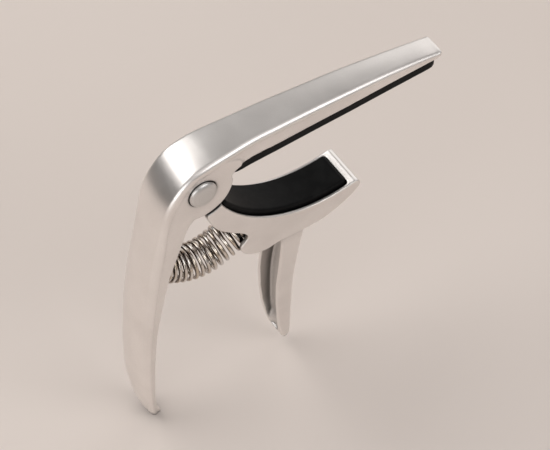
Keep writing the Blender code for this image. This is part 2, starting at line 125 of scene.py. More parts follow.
def prism(name, outline, half_width, bevel=0.0):
    """An outline in the XZ plane extruded to both sides of it, with rounded rims."""
    bm = bmesh.new()
    near = [bm.verts.new(vec(x, -half_width, z)) for x, z in outline]
    far = [bm.verts.new(vec(x, half_width, z)) for x, z in outline]
    bm.faces.new(near)
    bm.faces.new(reversed(far))
    for i in range(len(outline)):
        j = (i + 1) % len(outline)
        bm.faces.new((near[j], near[i], far[i], far[j]))
    bmesh.ops.recalc_face_normals(bm, faces=bm.faces)
    if bevel:
        rim = [e for e in bm.edges if abs(e.verts[0].co.y - e.verts[1].co.y) < MM / 100]
        bmesh.ops.bevel(
            bm, geom=rim, offset=bevel * MM, segments=RIM_STEPS, profile=0.5, affect="EDGES",
            clamp_overlap=True,
        )
    bmesh.ops.triangulate(bm, faces=[f for f in bm.faces if len(f.verts) > 4])
    return add_object(name, mesh_from(name, bm))


def cylinder(name, centre, direction, radius, top_radius, length):
    bm = bmesh.new()
    bmesh.ops.create_cone(
        bm, cap_ends=True, segments=ROUND_SIDES, radius1=radius * MM, radius2=top_radius * MM,
        depth=length * MM,
    )
    heading = Vector(direction).normalized()
    turn = Vector((0, 0, 1)).rotation_difference(heading).to_matrix().to_4x4()
    half_up = Matrix.Translation(vec(0, 0, length / 2))
    bm.transform(Matrix.Translation(vec(*centre)) @ turn @ half_up)
    return add_object(name, mesh_from(name, bm))


def settle(obj):
    """Apply the object's modifiers to its mesh."""
    depsgraph = bpy.context.evaluated_depsgraph_get()
    mesh = bpy.data.meshes.new_from_object(obj.evaluated_get(depsgraph))
    obj.modifiers.clear()
    obj.data = mesh


def carve(base, steps):
    """Union or subtract the other solids in turn, then drop them."""
    for operation, tool in steps:
        modifier = base.modifiers.new(tool.name, "BOOLEAN")
        modifier.operation = operation
        modifier.object = tool
        modifier.solver = "EXACT"
    settle(base)
    for _, tool in steps:
        bpy.data.objects.remove(tool)


def cast_skin(obj, voxel, rounds):
    """Even, softly rounded skin of a casting, from a hard-edged solid."""
    remesh = obj.modifiers.new("skin", "REMESH")
    remesh.mode = "VOXEL"
    remesh.voxel_size = voxel * MM
    remesh.use_smooth_shade = True
    even = obj.modifiers.new("even", "SMOOTH")
    even.factor = 0.5
    even.iterations = rounds
    settle(obj)
    for polygon in obj.data.polygons:
        polygon.use_smooth = True


def shade_smooth(obj, degrees):
    for polygon in obj.data.polygons:
        polygon.use_smooth = True
    obj.data.set_sharp_from_angle(angle=radians(degrees))


def finish_piece(obj, body, material, slot, *nodes):
    """Give a piece its material, hide its CAD nodes and attach it to its body, if it has one. The
    slot is not used.
    """
    obj.data.materials.clear()
    obj.data.materials.append(material)
    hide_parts(*nodes)
    if body:
        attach(obj, body)


# ---------------------------------------------------------------- materials


class Nodes:
    """Short calls for building a material's node tree."""

    def __init__(self, name):
        self.material = bpy.data.materials.new(name)
        self.material.use_nodes = True
        self.tree = self.material.node_tree
        self.shader = self.tree.nodes["Principled BSDF"]
        self.coords = self.tree.nodes.new("ShaderNodeTexCoord").outputs["Object"]

    def link(self, source, target):
        self.tree.links.new(source, target)

    def put(self, kind, **values):
        node = self.tree.nodes.new(kind)
        for key, value in values.items():
            setattr(node, key, value)
        return node

    def scaled(self, x, y, z):
        """Object coordinates times a scale, so that a texture's scale is per millimetre."""
        node = self.put("ShaderNodeMapping")
        node.inputs["Scale"].default_value = (x / MM, y / MM, z / MM)
        self.link(self.coords, node.inputs["Vector"])
        return node.outputs["Vector"]

    def noise(self, vector, scale, detail=4.0, roughness=0.55, distortion=0.0):
        node = self.put("ShaderNodeTexNoise")
        node.inputs["Scale"].default_value = scale
        node.inputs["Detail"].default_value = detail
        node.inputs["Roughness"].default_value = roughness
        node.inputs["Distortion"].default_value = distortion
        self.link(vector, node.inputs["Vector"])
        return node.outputs["Fac"]

    def remap(self, value, low, high, to_low, to_high):
        node = self.put("ShaderNodeMapRange")
        node.inputs["From Min"].default_value = low
        node.inputs["From Max"].default_value = high
        node.inputs["To Min"].default_value = to_low
        node.inputs["To Max"].default_value = to_high
        self.link(value, node.inputs["Value"])
        return node.outputs["Result"]

    def add(self, a, b):
        node = self.put("ShaderNodeMath", operation="ADD")
        self.link(a, node.inputs[0])
        self.link(b, node.inputs[1])
        return node.outputs["Value"]

    def painted_shade_mask(self, distance, low, high):
        """0 in a recess and 1 on an open face, from the ambient occlusion within a distance: the
        mask by which shade is painted into recesses and the gaps between parts.
        """
        node = self.put("ShaderNodeAmbientOcclusion", samples=8)
        node.inputs["Distance"].default_value = distance * MM
        return self.remap(node.outputs["AO"], low, high, 0.0, 1.0)

    def mix(self, factor, a, b):
        node = self.put("ShaderNodeMix", data_type="RGBA")
        for socket, value in zip(node.inputs[6:8], (a, b)):
            if isinstance(value, tuple):
                socket.default_value = (*value, 1.0)
            else:
                self.link(value, socket)
        self.link(factor, node.inputs[0])
        return node.outputs[2]

    def bump(self, height, strength, distance, normal=None):
        node = self.put("ShaderNodeBump")
        node.inputs["Strength"].default_value = strength
        node.inputs["Distance"].default_value = distance * MM
        self.link(height, node.inputs["Height"])
        if normal:
            self.link(normal, node.inputs["Normal"])
        return node.outputs["Normal"]

    def set(self, name, value):
        socket = self.shader.inputs[name]
        if isinstance(value, (int, float)):
            socket.default_value = value
        elif isinstance(value, tuple):
            socket.default_value = (*value, 1.0)
        else:
            self.link(value, socket)


def alloy_material():
    """Satin die-cast alloy: fine blasted grain and faint brushing, with painted shade that darkens
    it in its hollows, recesses and the gaps between parts.
    """
    m = Nodes("satin_alloy")
    grain = m.noise(m.scaled(1, 1, 1), 5.5, 3.0, 0.6)
    cloud = m.noise(m.scaled(1, 1, 1), 0.12, 3.0, 0.5, 0.4)
    brush = m.noise(m.scaled(0.05, 5.0, 5.0), 1.0, 2.0, 0.5)
    tone = m.mix(m.remap(cloud, 0.35, 0.65, 0.0, 1.0), (0.86, 0.825, 0.80), (0.92, 0.885, 0.86))
    tone = m.mix(m.remap(grain, 0.35, 0.65, 0.0, 0.25), tone, (0.76, 0.73, 0.71))
    # Painted shade: the colour falls to near black wherever ambient occlusion finds a recess or a
    # nearby part.
    m.set("Base Color", m.mix(m.painted_shade_mask(4, 0.64, 0.95), (0.11, 0.107, 0.103), tone))
    m.set("Metallic", 1.0)
    patches = m.remap(cloud, 0.3, 0.7, -0.03, 0.03)
    m.set("Roughness", m.add(m.remap(grain, 0.3, 0.7, 0.30, 0.40), patches))
    fine = m.bump(grain, 0.10, 0.03)
    m.set("Normal", m.bump(brush, 0.06, 0.03, fine))
    return m.material


def rubber_material():
    """Matt black moulded rubber with a fine skin and a little dust."""
    m = Nodes("black_rubber")
    skin = m.noise(m.scaled(1, 1, 1), 7.0, 4.0, 0.6)
    dust = m.noise(m.scaled(1, 1, 1), 0.35, 4.0, 0.6, 0.3)
    dusty = m.remap(dust, 0.45, 0.75, 0.0, 1.0)
    m.set("Base Color", m.mix(dusty, (0.003, 0.003, 0.0032), (0.008, 0.008, 0.008)))
    m.set("Roughness", m.remap(skin, 0.3, 0.7, 0.45, 0.60))
    m.set("Specular IOR Level", 0.10)
    m.set("Normal", m.bump(skin, 0.18, 0.04))
    return m.material


def wire_material():
    """Bright drawn spring steel, faintly warm, with drawing marks along the wire, and painted
    shade darkening it between the coils and in the seats.
    """
    m = Nodes("spring_steel")
    uv = m.put("ShaderNodeUVMap", uv_map="wire").outputs["UV"]
    place = m.put("ShaderNodeMapping")
    place.inputs["Scale"].default_value = (0.5, 14.0, 1.0)
    m.link(uv, place.inputs["Vector"])
    marks = m.noise(place.outputs["Vector"], 1.0, 3.0, 0.6)
    stain = m.noise(m.scaled(1, 1, 1), 0.5, 3.0, 0.5)
    tone = m.mix(m.remap(stain, 0.4, 0.65, 0.0, 1.0), (0.76, 0.73, 0.70), (0.60, 0.51, 0.41))
    # Painted shade: the colour falls to dark brown where the coils and the seats occlude each
    # other.
    m.set("Base Color", m.mix(m.painted_shade_mask(1.2, 0.64, 0.97), (0.07, 0.04, 0.02), tone))
    m.set("Metallic", 1.0)
    m.set("Roughness", m.remap(marks, 0.3, 0.7, 0.12, 0.22))
    m.set("Normal", m.bump(marks, 0.12, 0.01))
    return m.material


def turned_material(name, dark, light, low, high, metallic=1.0):
    """A lathe-turned face: fine rings about the rivet's axis."""
    m = Nodes(name)
    shift = m.put("ShaderNodeVectorMath", operation="SUBTRACT")
    m.link(m.coords, shift.inputs[0])
    shift.inputs[1].default_value = vec(PIVOT[0], 0, PIVOT[1])
    flat = m.put("ShaderNodeVectorMath", operation="MULTIPLY")
    m.link(shift.outputs["Vector"], flat.inputs[0])
    flat.inputs[1].default_value = (1 / MM, 0.0, 1 / MM)
    radius = m.put("ShaderNodeVectorMath", operation="LENGTH")
    m.link(flat.outputs["Vector"], radius.inputs[0])
    line = m.put("ShaderNodeCombineXYZ")
    m.link(radius.outputs["Value"], line.inputs["X"])
    rings = m.noise(line.outputs["Vector"], 7.0, 3.0, 0.6)
    grain = m.noise(m.scaled(1, 1, 1), 6.0, 3.0, 0.6)
    m.set("Base Color", m.mix(m.remap(rings, 0.35, 0.65, 0.0, 1.0), dark, light))
    m.set("Metallic", metallic)
    m.set("Roughness", m.remap(grain, 0.3, 0.7, low, high))
    m.set("Normal", m.bump(grain, 0.08, 0.02, m.bump(rings, 0.10, 0.02)))
    return m.material


def floor_material():
    """Plain warm floor, clouded just enough to be more than one flat tone."""
    m = Nodes("pale_floor")
    cloud = m.noise(m.scaled(1, 1, 1), 0.004, 3.0, 0.5)
    tone = m.mix(m.remap(cloud, 0.3, 0.7, 0.0, 1.0), (0.745, 0.665, 0.615), (0.765, 0.69, 0.645))
    m.set("Base Color", tone)
    m.set("Roughness", m.remap(cloud, 0.3, 0.7, 0.55, 0.65))
    m.set("Specular IOR Level", 0.2)
    return m.material


ALLOY = alloy_material()
RUBBER = rubber_material()
WIRE = wire_material()
RIVET = turned_material("rivet_steel", (0.60, 0.585, 0.57), (0.72, 0.71, 0.70), 0.30, 0.40)
BRONZE = turned_material("bushing_bronze", (0.50, 0.33, 0.16), (0.62, 0.43, 0.22), 0.28, 0.40)
NYLON = turned_material("washer_nylon", (0.74, 0.72, 0.66), (0.82, 0.81, 0.77), 0.40, 0.52, 0.0)


# ---------------------------------------------------------------- the frame casting

# Stations, arm tip to rear handle tip: outer x and z, inner x and z, width, edge and crown
FRAME_STATIONS = [
    (23.0, 4.14, 23.0, 2.95, 4.7, 0.30, 0.04),
    (22.9, 4.24, 22.9, 2.85, 5.2, 0.40, 0.05),
    (22.5, 4.33, 22.5, 2.78, 5.5, 0.50, 0.06),
    (21.9, 4.40, 21.9, 2.75, 5.65, 0.60, 0.10),
    (18.0, 5.05, 18.0, 2.75, 5.9, 0.75, 0.12),
    (9.3, 6.10, 9.3, 2.75, 6.5, 0.85, 0.15),
    (0.9, 6.80, 0.9, 2.75, 7.2, 0.90, 0.15),
    (-7.6, 7.25, -7.6, 2.75, 7.7, 0.90, 0.15),
    (-15.9, 7.60, -15.9, 2.75, 8.3, 0.90, 0.15),
    (-22.0, 7.70, -22.5, 2.75, 8.6, 0.90, 0.15),
    (-28.0, 7.50, -28.0, 2.00, 9.5, 0.90, 0.15),
    (-32.0, 7.15, -31.5, 0.50, 9.9, 0.85, 0.15),
    (-35.7, 6.25, -33.0, -0.60, 9.9, 0.80, 0.15),
    (-38.4, 4.45, -34.0, -2.00, 9.9, 0.75, 0.18),
    (-40.8, 1.55, -34.8, -4.00, 9.9, 0.75, 0.25),
    (-42.3, -1.50, -36.2, -6.30, 9.9, 0.95, 0.35),
    (-43.2, -5.00, -37.5, -8.50, 9.9, 1.20, 0.50),
    (-44.1, -9.00, -38.5, -11.20, 9.95, 1.45, 0.65),
    (-45.1, -13.50, -39.8, -14.60, 10.1, 1.60, 0.80),
    (-46.4, -20.00, -42.0, -20.40, 10.2, 1.60, 0.90),
    (-47.5, -27.50, -43.7, -27.60, 10.2, 1.50, 0.90),
    (-48.2, -36.00, -45.3, -36.00, 10.2, 1.20, 0.90),
    (-48.6, -44.00, -46.1, -44.00, 10.2, 1.00, 0.90),
    (-48.6, -52.00, -46.5, -52.00, 10.1, 0.90, 0.85),
    (-48.2, -57.50, -46.4, -57.40, 9.2, 0.80, 0.70),
    (-47.5, -62.00, -45.6, -61.80, 7.9, 0.70, 0.45),
    (-46.9, -64.30, -44.8, -64.00, 6.9, 0.65, 0.28),
    (-46.5, -65.20, -44.55, -64.90, 6.1, 0.60, 0.20),
    (-46.1, -65.75, -44.6, -65.50, 4.9, 0.50, 0.12),
]
# The same of the front handle, root to tip
FRONT_STATIONS = [
    (-8.4, -23.4, -14.9, -24.0, 7.6, 1.0, 0.5),
    (-9.9, -30.0, -15.2, -30.2, 7.6, 1.1, 0.6),
    (-11.2, -37.0, -15.8, -36.8, 7.7, 1.1, 0.6),
    (-12.0, -43.0, -16.4, -43.0, 7.7, 1.1, 0.6),
    (-12.3, -49.0, -16.3, -49.4, 7.5, 1.0, 0.6),
    (-12.4, -54.5, -15.8, -55.3, 6.9, 0.9, 0.5),
    (-12.2, -59.8, -14.8, -60.5, 5.4, 0.7, 0.4),
    (-12.0, -63.0, -13.5, -63.5, 3.6, 0.45, 0.2),
    (-12.1, -64.3, -13.1, -64.6, 2.0, 0.3, 0.1),
]
CRADLE_CENTRE = (-6.06, 7.28)
CRADLE_RADIUS = 27.0
STATION_STEPS = 10  # rings along each span of a casting
EDGE_POWER = 1.35  # over 1 an edge is flatter than a quarter round, more like a chamfer
EDGE_STEPS = 8
LOW_EDGE = 0.35  # of the inner rims
LEDGE_DROP = 0.22  # of the line along the side, under the edge
SIDE_STEP = 0.18  # of the side under that line
HOLLOW_EDGE = 0.5
HOLLOW_STEPS = 12
HOLLOW_RAMP = 3.0  # height over which a hollow runs out at its lower end
HOLLOW_REACH = 3.0  # of its cutter, past the open side
EAR_HALF_WIDTH = 4.72
EAR_RADIUS = 6.95
SLOT_HALF_WIDTH = 2.9
SLOT_RADIUS = 4.75
THROUGH = (-8.0, 16.0)  # start and length of a cutter right through the hinge
PIN_HOLE_RADIUS = 2.05
HEAD_RECESS = (3.08, 4.45, 3.0)  # radius, start from the middle and length of its cutter
JAW_HALF_WIDTH = 5.0
HUB_RADIUS = 4.4
HUB_HALF_WIDTH = 1.9
HUB_BORE_RADIUS = 3.0
JAW_HINGE_RADIUS = 7.12  # of the jaw's end, clear of the ears
FRAME_SEAT = (22.4, -114.8)  # of the spring: radius from the hinge and angle
LEVER_SEAT = (24.2, -60.9)
POCKET = (4.15, 4.35, 9.0)  # radius at the seat, radius at the mouth and length
PEG = (2.4, 2.0, 3.6)
PEG_SINK = 1.0  # of its root in the casting


def section(station, cut=0.0, lip=0.0, reach=0.0, step=0.0):
    """One ring of a handle or arm; with cut, lip and reach, of the hollow inside it.

    The step sets the side face back under a narrow rim along the edge.
    """
    outer_x, outer_z, inner_x, inner_z, width, edge, crown = station
    across = width / 2 - lip
    thickness = hypot(outer_x - inner_x, outer_z - inner_z)
    normal = ((outer_x - inner_x) / thickness, (outer_z - inner_z) / thickness)
    top = thickness - cut
    corner = []
    for i in range(EDGE_STEPS + 1):
        a = i / EDGE_STEPS * pi / 2
        corner.append((cos(a) ** EDGE_POWER, sin(a) ** EDGE_POWER))
    right = [(across - edge + edge * c, top - edge + edge * s) for c, s in corner]
    flat = across - edge
    crowned = [(flat * k / 4, top + crown * (1 - (k / 4) ** 2)) for k in range(3, -4, -1)]
    left = [(-y, h) for y, h in reversed(right)]
    side = across - step
    low = [(side - LOW_EDGE + LOW_EDGE * cos(a), -reach + LOW_EDGE - LOW_EDGE * sin(a))
           for a in (0.0, pi / 6, pi / 3, pi / 2)]
    if step:
        line = min(top - edge, thickness * 0.8) - LEDGE_DROP
        low = [(across, line), (side, line - step)] + low
    bottom = [(-y, h) for y, h in low] + [(y, h) for y, h in reversed(low)]
    ring = right + crowned + left + bottom
    return [(inner_x + normal[0] * h, y, inner_z + normal[1] * h) for y, h in ring]


def hollow(name, stations, span, wall, side_wall):
    """The solid that scoops out a handle between two heights, with a ramp at its lower end."""
    rings = []
    for station in smooth(stations, HOLLOW_STEPS):
        outer_x, outer_z, inner_x, inner_z = station[:4]
        if not span[1] <= outer_z <= span[0] or outer_x > 0:
            continue
        thickness = hypot(outer_x - inner_x, outer_z - inner_z)
        shallow = max(0.0, 1 - (outer_z - span[1]) / HOLLOW_RAMP)
        cut = wall + (thickness - wall - 0.1) * shallow
        inside = (*station[:5], HOLLOW_EDGE, station[6])
        rings.append(section(inside, cut, side_wall, HOLLOW_REACH))
    return loft(name, rings)


def spring_seat(name, place, sign):
    """The pocket and the peg of one end of the spring, opening along the arc or against it."""
    radius, degrees = place
    x, z = around(PIVOT, radius, degrees)
    mouth = (sign * -sin(radians(degrees)), 0.0, sign * cos(radians(degrees)))
    pocket = cylinder(name + "_pocket", (x, 0.0, z), mouth, *POCKET)
    root = (x - mouth[0] * PEG_SINK, 0.0, z - mouth[2] * PEG_SINK)
    return [("DIFFERENCE", pocket), ("UNION", cylinder(name + "_peg", root, mouth, *PEG))]


def through_hinge(name, radius):
    """A hole right through the hinge."""
    start, length = THROUGH
    cutter = cylinder(name, (PIVOT[0], start, PIVOT[1]), (0, 1, 0), radius, radius, length)
    return ("DIFFERENCE", cutter)


def make_frame():
    """The arm, shoulder and rear handle in one sweep, with the ears, slot, hollow and seats."""
    stations = smooth(FRAME_STATIONS, STATION_STEPS)
    base = loft("frame_casting", [section(s, step=SIDE_STEP) for s in stations])
    fork = [(-27.2, 1.1), (-26.6, 1.8), (-25.9, 2.25), (-25.0, 2.6)]
    inside_arm = [(-24.6, 3.6), (-26.0, 5.0), (-29.5, 5.9), (-33.5, 5.3), (-37.4, 2.9)]
    inside_handle = [(-40.0, -1.0), (-41.5, -6.0), (-42.2, -11.0)]
    throat = [(-39.2, -12.2), (-38.3, -9.8), (-37.5, -8.2), (-36.5, -7.1), (-35.7, -6.35)]
    ear_outline = smooth(fork, 4) + smooth(inside_arm, 4) + inside_handle + smooth(throat, 6)
    ear_outline += arc(PIVOT, EAR_RADIUS, -98.0, -4.0, 64)
    ears = prism("ears", ear_outline, EAR_HALF_WIDTH, 0.3)
    slot_outline = arc(PIVOT, SLOT_RADIUS, 180.0, 14.0, 60)
    slot_outline += [(-28.2, 1.5), (-26.9, 0.6), (-26.0, -1.0), (-26.0, -14.0), (-36.0, -14.0)]
    slot_outline += [(-37.0, -9.4), (-38.2, -5.6), (-38.8, -2.0)]
    slot = prism("slot", slot_outline, SLOT_HALF_WIDTH)
    steps = [("UNION", ears), ("DIFFERENCE", slot)]
    steps.append(("DIFFERENCE", hollow("rear_hollow", FRAME_STATIONS, (-28.5, -58.5), 1.5, 1.4)))
    steps.append(through_hinge("pin_hole", PIN_HOLE_RADIUS))
    radius, start, length = HEAD_RECESS
    for side, name in ((-1, "near_recess"), (1, "far_recess")):
        centre = (PIVOT[0], side * start, PIVOT[1])
        steps.append(("DIFFERENCE", cylinder(name, centre, (0, side, 0), radius, radius, length)))
    rings = []
    for x in (22.45, 10.0, -2.0, -14.0, -23.5, -29.0):
        half = arm_width(x) / 2 - 0.45
        rings.append([(x, -half, 1.25), (x, half, 1.25), (x, half, 3.25), (x, -half, 3.25)])
    steps.append(("DIFFERENCE", loft("pad_recess", rings)))
    steps += spring_seat("rear_seat", FRAME_SEAT, 1)
    carve(base, steps)
    cast_skin(base, *CASTING_SKIN)
    return base


def arm_width(x):
    """The arm's width at a place along it."""
    stations = [(s[0], s[4]) for s in FRAME_STATIONS[3:12]]
    x = min(x, stations[0][0])
    for (x0, w0), (x1, w1) in zip(stations, stations[1:]):
        if x1 <= x <= x0:
            return w0 + (w1 - w0) * (x0 - x) / (x0 - x1)
    return stations[-1][1]


# ---------------------------------------------------------------- the jaw and front handle


def cradle_arc(radius, start, end, count):
    """Points about the cradle's centre, at angles from straight down towards -X."""
    return arc(CRADLE_CENTRE, radius, -90.0 - start, -90.0 - end, count)


def make_lever():
    """The jaw, the front handle and the hinge hub, with the cradle's recess and the seat."""
    hinge_arc = arc(PIVOT, JAW_HINGE_RADIUS, -55.9, -82.0, 24)
    back = [(-33.15, -7.5), (-32.6, -9.0), (-31.8, -11.0), (-30.5, -12.9), (-28.9, -14.5)]
    notch = [(-27.4, -15.8), (-25.9, -16.9), (-24.5, -18.2), (-24.0, -19.3), (-24.5, -20.3)]
    lobe = [(-25.2, -20.9), (-25.7, -21.8), (-25.3, -23.3), (-23.9, -24.8)]
    under = [(-21.8, -25.8), (-19.4, -26.1), (-17.4, -25.7), (-14.0, -25.6), (-10.0, -25.7)]
    tip = [(-6.0, -25.3), (-2.0, -23.8), (0.8, -22.2), (2.3, -20.9), (2.7, -19.8), (2.2, -18.9)]
    outline = hinge_arc + smooth(back + notch + lobe + under + tip, 8)
    outline += cradle_arc(CRADLE_RADIUS, -16.0, 61.6, 90)
    base = prism("jaw_casting", outline, JAW_HALF_WIDTH, 0.4)
    rings = [section(s) for s in smooth(FRONT_STATIONS, STATION_STEPS)]
    steps = [("UNION", loft("front_handle", rings))]
    web = [
        around(PIVOT, 4.3, -20.0), around(PIVOT, 7.5, -56.0), around(PIVOT, 8.7, -57.0),
        around(PIVOT, 8.7, -79.0), around(PIVOT, 7.5, -80.0), around(PIVOT, 4.3, -120.0),
        around(PIVOT, 1.0, 110.0),
    ]
    steps.append(("UNION", prism("web", web, HUB_HALF_WIDTH)))
    near = (PIVOT[0], -HUB_HALF_WIDTH, PIVOT[1])
    hub = cylinder("hub", near, (0, 1, 0), HUB_RADIUS, HUB_RADIUS, 2 * HUB_HALF_WIDTH)
    steps.append(("UNION", hub))
    steps.append(through_hinge("hub_bore", HUB_BORE_RADIUS))
    steps.append(("DIFFERENCE", hollow("front_hollow", FRONT_STATIONS, (-26.8, -60.0), 1.2, 0.9)))
    recess = cradle_arc(CRADLE_RADIUS - 3.0, -13.0, 59.1, 80)
    recess += cradle_arc(CRADLE_RADIUS + 1.2, 59.1, -13.0, 80)
    steps.append(("DIFFERENCE", prism("cradle_recess", recess, 4.1)))
    steps += spring_seat("front_seat", LEVER_SEAT, -1)
    carve(base, steps)
    cast_skin(base, *CASTING_SKIN)
    return base


# ---------------------------------------------------------------- pads


def make_string_pad():
    """The rubber strip under the arm, flat where it meets the strings, with rounded ends."""
    top = 2.95
    root, tip = -26.6, 22.15
    side_gap, edge = 0.75, 0.55
    # x, underside, top and inset of the sides
    stations = [
        (root, 0.45, 0.9, 0.8), (root + 0.3, 0.16, 1.3, 0.45), (root + 0.8, 0.03, 1.8, 0.18),
        (root + 1.4, 0.0, 2.2, 0.05), (root + 2.4, 0.0, 2.5, 0.0), (root + 3.4, 0.0, top, 0.0),
    ]
    x = root + 4.4
    while x < tip - 2.0:
        stations.append((x, 0.0, top, 0.0))
        x += 1.0
    stations += [
        (tip - 1.6, 0.0, top, 0.02), (tip - 1.0, 0.02, top, 0.12), (tip - 0.5, 0.08, top, 0.35),
        (tip - 0.2, 0.18, top - 0.05, 0.65), (tip - 0.05, 0.32, top - 0.12, 0.95),
        (tip, 0.5, top - 0.25, 1.2),
    ]
    rings = []
    for x, low, high, inset in stations:
        half = arm_width(x) / 2 - side_gap - inset
        left = []
        for i in range(7):
            a = i / 6 * pi / 2
            left.append((-half + edge - edge * cos(a), low + edge - edge * sin(a)))
        flat = [(-half + edge + (2 * half - 2 * edge) * k / 6, low) for k in range(1, 6)]
        right = [(-y, z) for y, z in reversed(left)]
        side = [(half, low + (high - low) * k) for k in (0.4, 0.7)]
        side += [(half, high - 0.12), (half - 0.12, high)]
        back = [(-half + 0.12, high), (-half, high - 0.12)]
        back += [(-half, low + (high - low) * k) for k in (0.7, 0.4)]
        rings.append([(x, y, z) for y, z in left + flat + right + side + back])
    obj = loft("string_pad_rubber", rings)
    cast_skin(obj, *RUBBER_SKIN)
    return obj


def make_neck_pad():
    """The curved rubber pad of the cradle, a little fuller in its middle."""
    start, end = -12.75, 58.85
    outer, face = CRADLE_RADIUS + 0.9, CRADLE_RADIUS - 1.1
    half_width, edge = 3.95, 0.5
    rounding, fullness = 0.8, 0.12
    rings = []
    count = 110
    for i in range(count + 1):
        k = i / count
        angle = start + (end - start) * k
        from_end = min(k, 1 - k) * (end - start) / 180 * pi * CRADLE_RADIUS
        round_off = max(0.0, 1 - from_end / rounding)
        inset = edge * (1 - (1 - round_off**2) ** 0.5)
        inner = face + inset - fullness * (1 - (2 * k - 1) ** 2) + fullness
        half = half_width - inset * 0.8
        profile = []
        for j in range(7):
            a = j / 6 * pi / 2
            profile.append((-half + edge - edge * cos(a), inner + edge - edge * sin(a)))
        flat = [(-half + edge + (2 * half - 2 * edge) * q / 8, inner) for q in range(1, 8)]
        right = [(-y, r) for y, r in reversed(profile)]
        back = [(half, outer - 0.1), (half - 0.1, outer)]
        back += [(-y, r) for y, r in reversed(back)]
        ring = []
        for y, r in profile + flat + right + back:
            x, z = around(CRADLE_CENTRE, r, -90.0 - angle)
            ring.append((x, y, z))
        rings.append(ring)
    obj = loft("neck_pad_rubber", rings)
    cast_skin(obj, *RUBBER_SKIN)
    return obj


# ---------------------------------------------------------------- spring, rivet and hinge


WIRE_RADIUS = 0.40
WIRE_SIDES = 16
COIL_OUTER_RADIUS = 3.9
TURNS = 16.5
TURN_STEPS = 48
END_TURNS = 1.0  # closed up at each end
END_PITCH = 2.3  # of those, in degrees about the hinge
SEAT_GAP = 0.3
SPRING_BOW = 2.0  # of the coil's middle, away from the hinge


def coil_place(turn):
    """The wire's middle at a turn, and the coil's middle there, in an arc round the hinge."""
    inset = (WIRE_RADIUS + SEAT_GAP) / FRAME_SEAT[0] * 180 / pi
    start, end = FRAME_SEAT[1] + inset, LEVER_SEAT[1] - inset
    coil = COIL_OUTER_RADIUS - WIRE_RADIUS
    pitch = (end - start - 2 * END_TURNS * END_PITCH) / (TURNS - 2 * END_TURNS)
    first = min(turn, END_TURNS)
    last = max(turn - (TURNS - END_TURNS), 0.0)
    degrees = start + (first + last) * END_PITCH + (turn - first - last) * pitch
    done = turn / TURNS
    axis = FRAME_SEAT[0] + (LEVER_SEAT[0] - FRAME_SEAT[0]) * done
    axis += SPRING_BOW * sin(pi * done) ** 2
    angle = 2 * pi * turn
    x, z = around(PIVOT, axis + coil * cos(angle), degrees)
    centre = around(PIVOT, axis, degrees)
    return Vector((x, coil * sin(angle), z)), Vector((centre[0], 0, centre[1]))


def make_spring():
    """Round wire wound about an arc round the hinge, closed up at both ends."""
    sides = WIRE_SIDES
    count = int(TURNS * TURN_STEPS)
    bm = bmesh.new()
    uv = bm.loops.layers.uv.new("wire")
    rows = []
    for i in range(count + 1):
        turn = TURNS * i / count
        point, centre = coil_place(turn)
        ahead = coil_place(min(turn + 0.01, TURNS))[0] - coil_place(max(turn - 0.01, 0.0))[0]
        ahead.normalize()
        out = (point - centre).normalized()
        side = ahead.cross(out).normalized()
        out = side.cross(ahead).normalized()
        radius = WIRE_RADIUS * (0.8 if i in (0, count) else 1.0)
        row = []
        for j in range(sides):
            a = 2 * pi * j / sides
            row.append(bm.verts.new((point + (out * cos(a) + side * sin(a)) * radius) * MM))
        rows.append(row)
    for i, (low, high) in enumerate(zip(rows, rows[1:])):
        for j in range(sides):
            k = (j + 1) % sides
            face = bm.faces.new((low[j], low[k], high[k], high[j]))
            for loop, (u, v) in zip(face.loops, ((i, j), (i, j + 1), (i + 1, j + 1), (i + 1, j))):
                loop[uv].uv = (u / TURN_STEPS, v / sides)
    bm.faces.new(reversed(rows[0]))
    bm.faces.new(rows[-1])
    bmesh.ops.recalc_face_normals(bm, faces=bm.faces)
    obj = add_object("bent_spring", mesh_from("bent_spring", bm))
    shade_smooth(obj, 50)
    return obj


def turned(name, profile, towards):
    """A profile of radius and height turned about the rivet's axis, towards -Y or +Y."""
    bm = bmesh.new()
    rows = []
    for radius, height in profile:
        row = []
        for i in range(ROUND_SIDES if radius else 1):
            x, z = around(PIVOT, radius, 360 * i / ROUND_SIDES)
            row.append(bm.verts.new(vec(x, towards * height, z)))
        rows.append(row)
    for low, high in zip(rows, rows[1:]):
        for i in range(ROUND_SIDES):
            j = (i + 1) % ROUND_SIDES
            corners = [low[i % len(low)], low[j % len(low)]]
            corners += [high[j % len(high)], high[i % len(high)]]
            bm.faces.new(list(dict.fromkeys(corners)))
    bmesh.ops.recalc_face_normals(bm, faces=bm.faces)
    obj = add_object(name, mesh_from(name, bm))
    shade_smooth(obj, 40)
    return obj


HEAD_RADIUS = 3.0
HEAD_BASE = 4.75  # the underside of the head and of the cap
DOME_BASE = 4.98
DOME_RISE = 0.97
DOME_STEPS = 18


def head_profile():
    """A full dome, round at its edge, with a short straight rim under it."""
    profile = [(0.0, DOME_BASE + DOME_RISE)]
    for i in range(1, DOME_STEPS + 1):
        a = i / DOME_STEPS * pi / 2
        profile.append((HEAD_RADIUS * sin(a) ** 0.85, DOME_BASE + DOME_RISE * cos(a) ** 1.15))
    profile.append((HEAD_RADIUS, HEAD_BASE + 0.05))
    profile.append((HEAD_RADIUS - 0.05, HEAD_BASE))
    return profile


def make_rivet():
    shank = [(1.75, HEAD_BASE), (1.75, -4.8), (1.65, -4.9), (0.0, -4.9)]
    return turned("rivet_head", head_profile() + shank, -1)


def make_cap():
    hole = [(2.05, HEAD_BASE), (2.05, 5.2), (0.0, 5.2)]
    return turned("rivet_cap_dome", head_profile() + hole, 1)


# ---------------------------------------------------------------- put together

